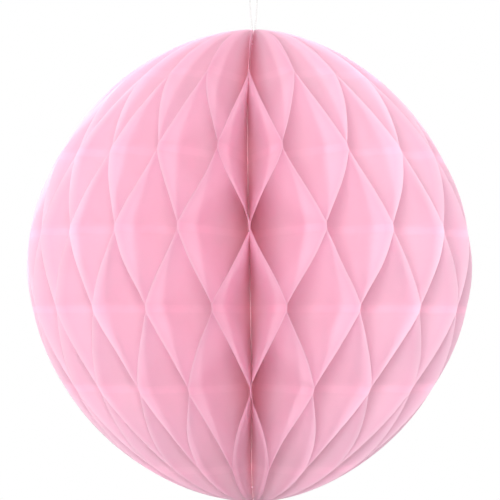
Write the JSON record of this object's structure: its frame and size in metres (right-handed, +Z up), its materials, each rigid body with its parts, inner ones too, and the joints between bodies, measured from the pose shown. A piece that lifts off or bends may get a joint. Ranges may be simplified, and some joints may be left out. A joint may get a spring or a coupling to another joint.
{
  "type": "honeycomb paper ball",
  "caption": "Hanging paper ball of tissue half-discs glued along staggered lines, fanned round a bound spine into diamond cells, with two card covers and a thread loop.",
  "frame": {"origin": "centre of the ball, on the bound spine and halfway between its two poles", "axes": "+Z up the spine towards the hanging loop, -Y towards the pictured front, +X to the right of the picture"},
  "size_m": [0.1876, 0.1881, 0.23],
  "materials": {
    "tissue": "matte, thin, lets light through",
    "card": "matte",
    "tape": "satin",
    "binding": "twisted cotton",
    "thread": "twisted cotton"
  },
  "bodies": {
    "root": {"tissue_sheet_01": "tissue", "tissue_sheet_02": "tissue", "tissue_sheet_03": "tissue", "tissue_sheet_04": "tissue", "tissue_sheet_05": "tissue", "tissue_sheet_06": "tissue", "tissue_sheet_07": "tissue", "tissue_sheet_08": "tissue", "tissue_sheet_09": "tissue", "tissue_sheet_10": "tissue", "tissue_sheet_11": "tissue", "tissue_sheet_12": "tissue", "tissue_sheet_13": "tissue", "tissue_sheet_14": "tissue", "tissue_sheet_15": "tissue", "tissue_sheet_16": "tissue", "tissue_sheet_17": "tissue", "tissue_sheet_18": "tissue", "tissue_sheet_19": "tissue", "tissue_sheet_20": "tissue", "tissue_sheet_21": "tissue", "tissue_sheet_22": "tissue", "tissue_sheet_23": "tissue", "tissue_sheet_24": "tissue", "tissue_sheet_25": "tissue", "tissue_sheet_26": "tissue", "tissue_sheet_27": "tissue", "tissue_sheet_28": "tissue", "tissue_sheet_29": "tissue", "tissue_sheet_30": "tissue", "tissue_sheet_31": "tissue", "tissue_sheet_32": "tissue", "tissue_sheet_33": "tissue", "tissue_sheet_34": "tissue", "tissue_sheet_35": "tissue", "tissue_sheet_36": "tissue", "tissue_sheet_37": "tissue", "tissue_sheet_38": "tissue", "tissue_sheet_39": "tissue", "tissue_sheet_40": "tissue", "card_cover_left": "card", "card_cover_right": "card", "closing_tape_upper": "tape", "closing_tape_lower": "tape", "binding_stitch_top": "binding", "binding_stitch_middle": "binding", "binding_stitch_bottom": "binding", "hanging_loop": "thread"}
  },
  "joints": []
}
